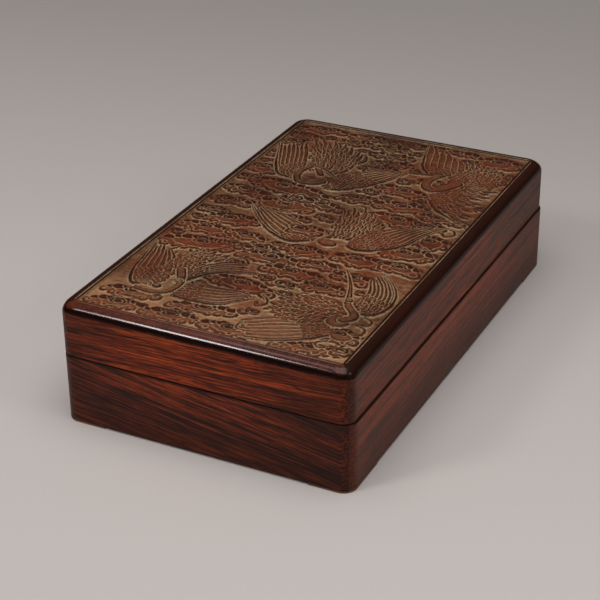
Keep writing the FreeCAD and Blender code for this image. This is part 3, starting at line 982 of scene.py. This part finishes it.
# %% The crane at the back right
fan(((50, 100), (60, 106), (68, 100)), ((47, 118), (62, 122), (77, 112)), 9, width=3.2)
wing(((27, 96), (21, 103), (16, 117), (11, 138)), ((48, 98), (46, 108), (42, 121)), 6, 0.3)
scaled_body(58, 96, 14, 16, 40, 3.4)
fan(((54, 90), (51, 78), (49, 66), (47, 56)), ((76, 88), (75, 76), (74, 60), (78, 35)), 11, width=3.6)
scaled_body(50, 73, 8, 17, 0, 3.4)
leading_edge(curve([(45, 58), (52, 49), (62, 42), (78, 32)]), 0.0, 2.4)
neck(((50, 88), (45, 78), (38, 74), (33, 80), (34, 90), (39, 98)), 8.5, 4.0)
head(40, 99.5, 200, 24)
print("with the crane at the back right, carved on", standing(), "% of the field")

# %% The crane in the middle
fan(((8, -6), (18, -2), (28, -6)), ((2, 26), (16, 30), (36, 12)), 13, width=3.2)
fan(((10, -12), (18, -8), (26, -12)), ((8, 12), (17, 16), (28, 8)), 8, width=3.2)
wing(
    ((2, -21), (-6, -26), (-15, -25), (-28, -17), (-40, -5), (-51, 9)),
    ((2, -6), (-8, -3), (-22, 2), (-38, 8)), 6, 0.3,
)
wing(
    ((26, -19), (31, -21), (39, -19), (49, -12), (56, -2), (60, 11), (69, 29)),
    ((26, -8), (30, 4), (38, 12), (50, 19)), 7, 0.5,
)
cloud(-5, -9, 26, 16, (-0.4, 9.5), top=-0.2)
breast(13, -19, 11.5, 8.5, 90)
print("with the crane in the middle, carved on", standing(), "% of the field")

# %% The crane at the front left
fan(((-52, -72), (-46, -66), (-38, -70)), ((-56, -60), (-40, -56), (-24, -58)), 8, width=3.0)
wing(
    ((-55, -105), (-64, -109), (-71, -96), (-74, -80), (-78, -57)),
    ((-48, -96), (-50, -84), (-56, -74), (-62, -66)), 7, 0.45,
)
scaled_body(-47, -78, 13, 10, 70, 3.6)
wing(
    ((-38, -95), (-30, -83), (-20, -76), (-5, -72)),
    ((-42, -86), (-36, -74), (-29, -66), (-20, -60)), 5, 0.4,
)
wing(
    ((-34, -113), (-20, -114), (-7, -111), (5, -98)),
    ((-36, -98), (-22, -94), (-10, -93), (2, -93)), 6, 0.3,
)
neck(((-46, -84), (-42, -91), (-38.5, -100), (-40, -109), (-47, -113.5), (-58, -113.5)), 5.8, 2.6, hatch=0)
comb(-41, -96, 5.5, 4.5, 5)
comb(-56.5, -105, 8, 5, 7)
head(-49, -106, 185, 5, size=5.2)
print("with the crane at the front left, carved on", standing(), "% of the field")

# %% The crane at the front right
fan(((30, -98), (30, -90), (36, -82)), ((16, -106), (20, -92), (27, -79)), 6, width=3.8)
wing(
    ((60, -117), (52, -124), (42, -131), (30, -136), (19, -137)),
    ((52, -104), (38, -105), (26, -109), (11, -119)), 7, 0.3,
)
scaled_body(38, -94, 20, 16, 200, 4.8)
wing(
    ((64, -88), (72, -87), (76.5, -76), (75, -62), (68, -50), (58, -40)),
    ((56, -78), (59, -68), (58, -60), (54, -50)), 7, 0.4,
)
breast(58, -101, 13, 10, 180)
neck(((60, -98), (63.5, -94), (62, -89), (57, -84), (54, -80)), 6.0, 4.0)
head(53.5, -77, 116, 36, bend=-0.04)
print("with the crane at the front right, carved on", standing(), "% of the field")

# %% [markdown]
# ## An unsteady hand
# Formulas draw every curve too cleanly. Lines cut by hand waver, and feathers
# beside each other are never quite alike. Each point of the grid takes its
# height from a place close by, along a smooth random drift, which bends all the
# lines together and tears none. Uneven curves in each figure would take far
# more numbers.

# %% Let the lines waver
most_drift = 1.5
waver = np.random.default_rng(8)


def drift():
    """A smooth random drift over the grid, counted in squares."""
    field = blur(waver.normal(0, 1, relief.shape), 2.6)
    return field * most_drift / np.abs(field).max() / pitch


near_row = np.clip(np.arange(len(rows))[:, None] + drift(), 0, len(rows) - 1.01)
near_column = np.clip(np.arange(len(columns)) + drift(), 0, len(columns) - 1.01)
row, column = near_row.astype(int), near_column.astype(int)


def wavering(heights):
    """The grid read at the drifted places, between its points."""
    share = near_column - column
    low = heights[row, column] * (1 - share) + heights[row, column + 1] * share
    high = heights[row + 1, column] * (1 - share) + heights[row + 1, column + 1] * share
    return low + (high - low) * (near_row - row)


relief = wavering(relief)
stained = wavering(stained)
print("drift up to", most_drift, "mm")

# %% [markdown]
# ## Knife marks
# A hand-cut ground is not flat. Small random heights, smoothed over half a
# millimetre, leave the facets of the chisel on it and a little on the figures.
# A bump in the material would do nearly the same, but dust could not find it.

# %% Leave the marks of the knife
knife = np.random.default_rng(3).normal(0, 1, relief.shape)
marks = blur(knife, 0.7) + 1.5 * blur(knife, 1.6)
marks /= np.abs(marks).max()
relief = np.clip(relief + 0.22 * marks * (1 - 0.5 * stained), -ground_depth - 0.15, -0.02)
print("height of the relief", round(float(relief.min()), 2), "to", round(float(relief.max()), 2))

# %% [markdown]
# ## The lid's top board as one mesh
# The board is a closed solid: a tongue under it fits between the side boards,
# its edge is rounded over, and a groove and a bead run round the field. All of
# that is one profile swept round a rounded rectangle. The field is the grid of
# heights. A displaced plane would be easier, but it would be a sheet with no
# underside. So rings of points are stacked from the tongue to the bead, and
# the last ring is stitched to the edge of the grid.

# %% The border's profile
rounding = 5.5
corner_radius = 7.55
corner_growth = 3.5
growth_end = 7.5
groove_start = 6.0
groove_width = 0.9
groove_drop = 0.7
dusty_groove = (-1.0, -0.35)
bead_width = 1.4
tongue_inset = 7.9
arc_steps = 8

turns = [math.radians(90 * i / 12) for i in range(13)]
edge_line = [(rounding * (1 - math.cos(t)), rounding * (math.sin(t) - 1)) for t in turns]
groove_line = [
    (groove_start + groove_width * s, -groove_drop * math.sin(math.pi * s) ** 0.6)
    for s in (0.0, 0.12, 0.3, 0.5, 0.7, 0.88)
]
bead_start = groove_start + groove_width
bead_line = [
    (bead_start + bead_width * s, -0.5 * abs(2 * s - 0.95) ** 3.2)
    for s in (0.03, 0.15, 0.32, 0.5, 0.68, 0.84, 0.94)
]
profile = [(tongue_inset, tongue_z - land_z), (tongue_inset, seat_z - land_z), (0.0, seat_z - land_z)]
underside_rings = len(profile)
profile += edge_line + groove_line + bead_line
print("rings round the border", len(profile))


# %% One ring of points
def ring(inset, height):
    """Points round a rounded rectangle, counter-clockwise from its front left."""
    rise = np.clip(1 + height / rounding, 0, 1) * np.clip((growth_end - inset) / 2, 0, 1)
    radius = max(corner_radius - inset + corner_growth * rise, 0.0)
    straight_x = half_x - inset - radius
    straight_y = half_y - inset - radius
    points = []
    for number, (cx, cy) in enumerate(((-1, -1), (1, -1), (1, 1), (-1, 1))):
        across = number % 2 == 0
        dx, dy = (-cy, 0) if across else (0, cx)
        count, half = (coarse_across, straight_x) if across else (coarse_along, straight_y)
        start_x = cx * straight_x + dy * radius
        start_y = cy * straight_y - dx * radius
        points += [(start_x + dx * s, start_y + dy * s) for s in np.linspace(0, 2 * half, count + 1)]
        end_x, end_y = cx * straight_x + dx * 2 * half, cy * straight_y + dy * 2 * half
        for i in range(1, arc_steps):
            turn = math.radians(90 * (number - 1 + i / arc_steps))
            points.append((end_x + radius * math.cos(turn), end_y + radius * math.sin(turn)))
    return [(x, y, height) for x, y in points]


ring_size = len(ring(0.0, 0.0))
print("points in a ring", ring_size)

# %% Stack the rings and the grid
border_points = np.array([point for inset, height in profile for point in ring(inset, height)])
grid_x, grid_y = np.meshgrid(columns, rows)
grid_points = np.stack([grid_x.ravel(), grid_y.ravel(), relief.ravel()], 1)
grid_start = len(border_points)
grid = np.arange(relief.size).reshape(relief.shape) + grid_start

faces = []
for level in range(len(profile) - 1):
    low = level * ring_size
    for i in range(ring_size):
        j = (i + 1) % ring_size
        faces.append((low + i, low + j, low + ring_size + j, low + ring_size + i))
faces.append(tuple(reversed(range(ring_size))))

last = (len(profile) - 1) * ring_size
at = 0
for edge, count in ((grid[0], coarse_across), (grid[:, -1], coarse_along),
                    (grid[-1, ::-1], coarse_across), (grid[::-1, 0], coarse_along)):
    for i in range(count):
        fine_run = edge[i * fine_per_coarse:(i + 1) * fine_per_coarse + 1]
        faces.append((last + at + i, last + at + i + 1, *fine_run[::-1]))
    for i in range(arc_steps):
        a, b = last + at + count + i, last + (at + count + i + 1) % ring_size
        faces.append((a, b, edge[-1]))
    at += count + arc_steps
quads = np.stack([grid[:-1, :-1], grid[:-1, 1:], grid[1:, 1:], grid[1:, :-1]], 2).reshape(-1, 4)
print("border faces", len(faces), "field faces", len(quads))


# %% [markdown]
# ## Welding and tidying the mesh
# Where a ring's corner has shrunk to a point, several of its points lie on
# each other. They are welded before the mesh is made, so that no face has two
# corners in one place. Each face keeps only the corners that are left.

# %% Weld the corners and make the mesh
_, first_of, same = np.unique(np.round(border_points, 4), axis=0, return_index=True, return_inverse=True)
welded = first_of[same.ravel()]
used = np.unique(welded)
new_number = np.full(grid_start + len(grid_points), -1)
new_number[used] = np.arange(len(used))
new_number[grid_start:] = np.arange(len(grid_points)) + len(used)
final_points = np.vstack([border_points[used], grid_points])


def weld(face):
    """A face's corners after welding, without repeats."""
    corners = [int(new_number[welded[p] if p < grid_start else p]) for p in face]
    return [p for i, p in enumerate(corners) if p != corners[i - 1]]


final_faces = [weld(face) for face in faces]
kept = [len(face) >= 3 for face in final_faces]
top_face = [level >= underside_rings - 1 for level in range(len(profile) - 1) for _ in range(ring_size)]
top_face += [False] + [True] * (len(faces) - len(top_face) - 1)
top_face = [t for t, k in zip(top_face, kept) if k] + [True] * len(quads)
final_faces = [face for face, k in zip(final_faces, kept) if k] + new_number[quads].tolist()

mesh = bpy.data.meshes.new("carved_top")
placed = (final_points + (lid_middle, 0.0, land_z)) * MM
mesh.from_pydata(placed.tolist(), [], final_faces)
mesh.update()
carved_top = bpy.data.objects.new("carved_top", mesh)
bpy.context.scene.collection.objects.link(carved_top)
print("carved top", len(mesh.vertices), "points", len(mesh.polygons), "faces")

# %% Smooth shading, with crisp edges on the tongue and the seat
mesh.polygons.foreach_set("use_smooth", np.ones(len(mesh.polygons), bool))
edge_ends = np.zeros(2 * len(mesh.edges), int)
mesh.edges.foreach_get("vertices", edge_ends)
edge_ends = edge_ends.reshape(-1, 2)
crisp = final_points[edge_ends, 2].max(1) < seat_z - land_z + 1e-3
mesh.attributes.new("sharp_edge", "BOOLEAN", "EDGE").data.foreach_set("value", crisp)
print("crisp edges", int(crisp.sum()))

# %% [markdown]
# ## Masks for the carving's dust and painted shade
# Dust has settled in every cut, and the shoulders of the figures are painted
# dark as painted shade. Both follow from the shape: a point that lies lower than
# its surroundings holds dust, and one that stands higher gets painted shade.
# Blurring the heights gives the surroundings. The masks are kept on the
# mesh's points, where a material can read them and a bake can keep them.

# %% Compare each height with its surroundings
dust = np.clip((blur(relief, 0.6) - relief) / 0.2, 0, 1)
# Painted shade: points that stand above their surroundings are darkened.
dark = np.clip((relief - blur(relief, 0.7)) / 0.16, 0, 1)
haze = np.clip((blur(relief, 1.6) - relief) / 0.55, 0, 1)


def point_mask(name, field_values, border_value=0.0, groove_value=None):
    """Keeps a mask on the carved top's points. The border's groove may have its own value."""
    values = np.full(len(final_points), border_value)
    if groove_value is not None:
        border_at = final_points[:len(used)]
        inset = np.minimum(half_x - np.abs(border_at[:, 0]), half_y - np.abs(border_at[:, 1]))
        low, high = dusty_groove
        in_groove = (inset > groove_start + 0.1) & (border_at[:, 2] > low) & (border_at[:, 2] < high)
        values[:len(used)][in_groove] = groove_value
    values[len(used):] = field_values.ravel()
    mesh.attributes.new(name, "FLOAT", "POINT").data.foreach_set("value", values)


point_mask("dust", dust, groove_value=0.75)
point_mask("dark", dark)
point_mask("haze", haze)
point_mask("stained", stained, border_value=1.0)
point_mask("field", np.ones_like(relief))
print("mean dust", round(float(dust.mean()), 3), "mean stain", round(float(stained.mean()), 3))

# %% [markdown]
# ## A map for baking
# A bake of the finish into a picture needs a flat map on the mesh. The top is
# laid out as seen from above, with the rounded edge unrolled outwards, and the
# underside beside it.

# %% Lay out the map
map_height = 2 * half_y + 8.0
map_fill = 0.97
top_middle = 0.29
under_middle, under_fill = 0.8, 0.66
unroll = 0.57
across, along, height = final_points.T
outward = np.clip(-height, 0, land_z - seat_z) * unroll
is_border = np.arange(len(final_points)) < len(used)
push_x = np.where(is_border & (half_x - np.abs(across) < rounding), np.sign(across) * outward, 0)
push_y = np.where(is_border & (half_y - np.abs(along) < rounding), np.sign(along) * outward, 0)
top_u = top_middle + (across + push_x) / map_height * map_fill
top_v = 0.5 + (along + push_y) / map_height * map_fill
under_u = under_middle + across / map_height * under_fill
under_v = 0.5 + along / map_height * map_fill
corner_points = np.zeros(len(mesh.loops), int)
mesh.loops.foreach_get("vertex_index", corner_points)
corners_per_face = np.zeros(len(mesh.polygons), int)
mesh.polygons.foreach_get("loop_total", corners_per_face)
on_top = np.repeat(np.array(top_face), corners_per_face)
u = np.where(on_top, top_u[corner_points], under_u[corner_points])
v = np.where(on_top, top_v[corner_points], under_v[corner_points])
bake_map = mesh.uv_layers.new(name="OFBake")
bake_map.uv.foreach_set("vector", np.stack([u, v], 1).ravel())
print("map from", round(float(u.min()), 3), "to", round(float(u.max()), 3))

# %% [markdown]
# ## The finish of the carved top
# The ground is tan with dust, the figures are dark red, and so is the plain
# border, over which painted shade is laid, heavier on its back and sides than
# along the front. The rounded edge is polished by hands and carries a black
# stain. The field has painted light near the front, painted shade towards the
# back, and painted shade on the shoulders of its figures. The dust is broken up
# with noise, because it was wiped off some places and not others. All of this
# could be painted, but then it would not follow the relief.

# %% The ground and the figures
figure_tones = ((38, 17, 12), (82, 33, 20), (114, 48, 27), (142, 68, 41))
ground_tones = ((64, 36, 23), (92, 57, 38), (112, 74, 49), (136, 97, 68))
ground_places = (0.36, 0.46, 0.54, 0.64)
wood, colour, fine = wood_finish("carved_top", "y", figure_tones, 0.0, 9, contrast=0.9, rough_grain=0.06)
place = wood.place()
in_field, stain = wood.attribute("field"), wood.attribute("stained")
patches = wood.noise(wood.stretch(place, (28, 28, 28)))
specks = wood.noise(wood.stretch(place, (420, 420, 420)))
warm = wood.noise(wood.stretch(place, (13, 13, 13), shift=(3, 1, 0)), detail=2.0)
mottled = wood.times(fine, 0.25, wood.times(patches, 0.55, wood.times(specks, 0.2)))
colour = wood.mix(stain, wood.ramp(mottled, ground_places, ground_tones), colour)
colour = wood.tint(colour, wood.span(warm, 0.46, 0.6, 0.0, 0.5), (124, 54, 31))
colour = wood.tint(colour, wood.span(warm, 0.36, 0.5, 0.4, 0.0), (46, 30, 23))
print("ground and figures", len(ground_tones) + len(figure_tones), "tones")

# %% The plain border with its painted shade, and painted light near the front
mitre_blur = 0.6
x, y, z = wood.parts(place)
depth = wood.times(z, 1 / MM, -land_z)
side_gap = wood.minus(half_x, wood.size(wood.times(x, 1 / MM, -lid_middle)))
front_gap = wood.times(y, 1 / MM, half_y)
past_mitre = wood.minus(side_gap, front_gap)
on_border = wood.minus(1.0, in_field)
# Painted shade: the border is darkened, less along the front than on the back and sides.
border_painted_shade = wood.span(past_mitre, -mitre_blur, mitre_blur, 0.94, 0.45)
colour = wood.tint(colour, wood.times(on_border, border_painted_shade), (38, 19, 14))
unstained = wood.times(wood.span(stain, 0.2, 0.9, 1.0, 0.12), in_field)
# Painted light: towards the front the field is mixed to paler tones, tan on the ground and red on the
# figures.
pale = wood.mix(unstained, linear((112, 52, 32)), linear((174, 124, 88)))
front_painted_light = wood.times(wood.span(front_gap, 12.0, 60.0, 0.72, 0.0), in_field)
colour = wood.mix(front_painted_light, colour, pale)
print("border in front of the mitres, blurred over", 2 * mitre_blur, "mm")

# %% Scuffs, stains, dust and painted shade, laid one over the other
strokes = wood.noise(wood.stretch(place, (240, 1300, 300), turn=(0, 0, 0.5)))
scuffed = wood.times(wood.span(strokes, 0.47, 0.6, 0.0, 0.66), unstained)
scuffed = wood.times(scuffed, wood.span(patches, 0.4, 0.58, 0.3, 1.0))
cuts = wood.times(wood.span(strokes, 0.36, 0.46, 0.55, 0.0), in_field)
ragged = wood.times(specks, 1.2, -0.6)
uneven = wood.times(patches, 2.4, wood.plus(ragged, -1.2))
edge_low = wood.span(wood.plus(depth, uneven), -5.5, -4.6)
edge_high = wood.span(wood.plus(depth, ragged), -3.0, -1.7, 1.0, 0.0)
black = wood.times(wood.times(edge_low, edge_high), on_border)
black = wood.times(black, wood.span(past_mitre, -mitre_blur, mitre_blur, 0.3, 0.94))
lobes = wood.times(wood.span(stain, 0.78, 0.95, 0.0, 0.7), in_field)
# Painted shade on the shoulders of the figures.
shade = wood.times(wood.attribute("dark"), wood.span(patches, 0.3, 0.7, 0.8, 1.0))
settled = wood.times(wood.attribute("haze"), wood.span(patches, 0.35, 0.65, 0.05, 0.5))
dusty = wood.times(wood.attribute("dust"), wood.span(specks, 0.3, 0.6, 0.45, 1.0))
dusty = wood.times(dusty, wood.span(patches, 0.35, 0.6, 0.45, 1.0))
# Painted shade: the field darkens towards the back.
far_painted_shade = wood.times(wood.span(front_gap, 120.0, 290.0, 0.0, 0.22), in_field)
layers = (
    (scuffed, (138, 112, 84)), (cuts, (52, 28, 20)), (black, (14, 10, 9)), (lobes, (50, 22, 15)),
    (shade, (30, 15, 11)), (settled, (130, 99, 70)), (wood.times(dusty, 0.9), (184, 153, 117)),
    (far_painted_shade, (44, 25, 18)),
)
for share, tone in layers:
    colour = wood.tint(colour, share, tone)
print("layers of age", len(layers))

# %% The polish
rough = wood.times(in_field, 0.22, wood.span(depth, -0.5, 0.0, 0.1, 0.34))
shine = wood.times(wood.span(past_mitre, -mitre_blur, mitre_blur), wood.span(depth, -3.4, -2.3))
shine = wood.times(shine, wood.span(side_gap, 10.0, 75.0, 0.35, 1.0))
shine = wood.times(wood.times(shine, on_border), 0.48, 0.06)
wood.finish(Base_Color=colour, Roughness=rough, Specular_IOR_Level=shine)
mesh.materials.append(wood.owner)
print("carved wood", wood.owner.name)

# %% Put the carved top in its place
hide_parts("lid_carved_top")
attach(carved_top, "lid")
print("carved top rides on the lid")

# %% [markdown]
# ## Finish
# The view layer is brought up to date.

# %% Finish
bpy.context.view_layer.update()
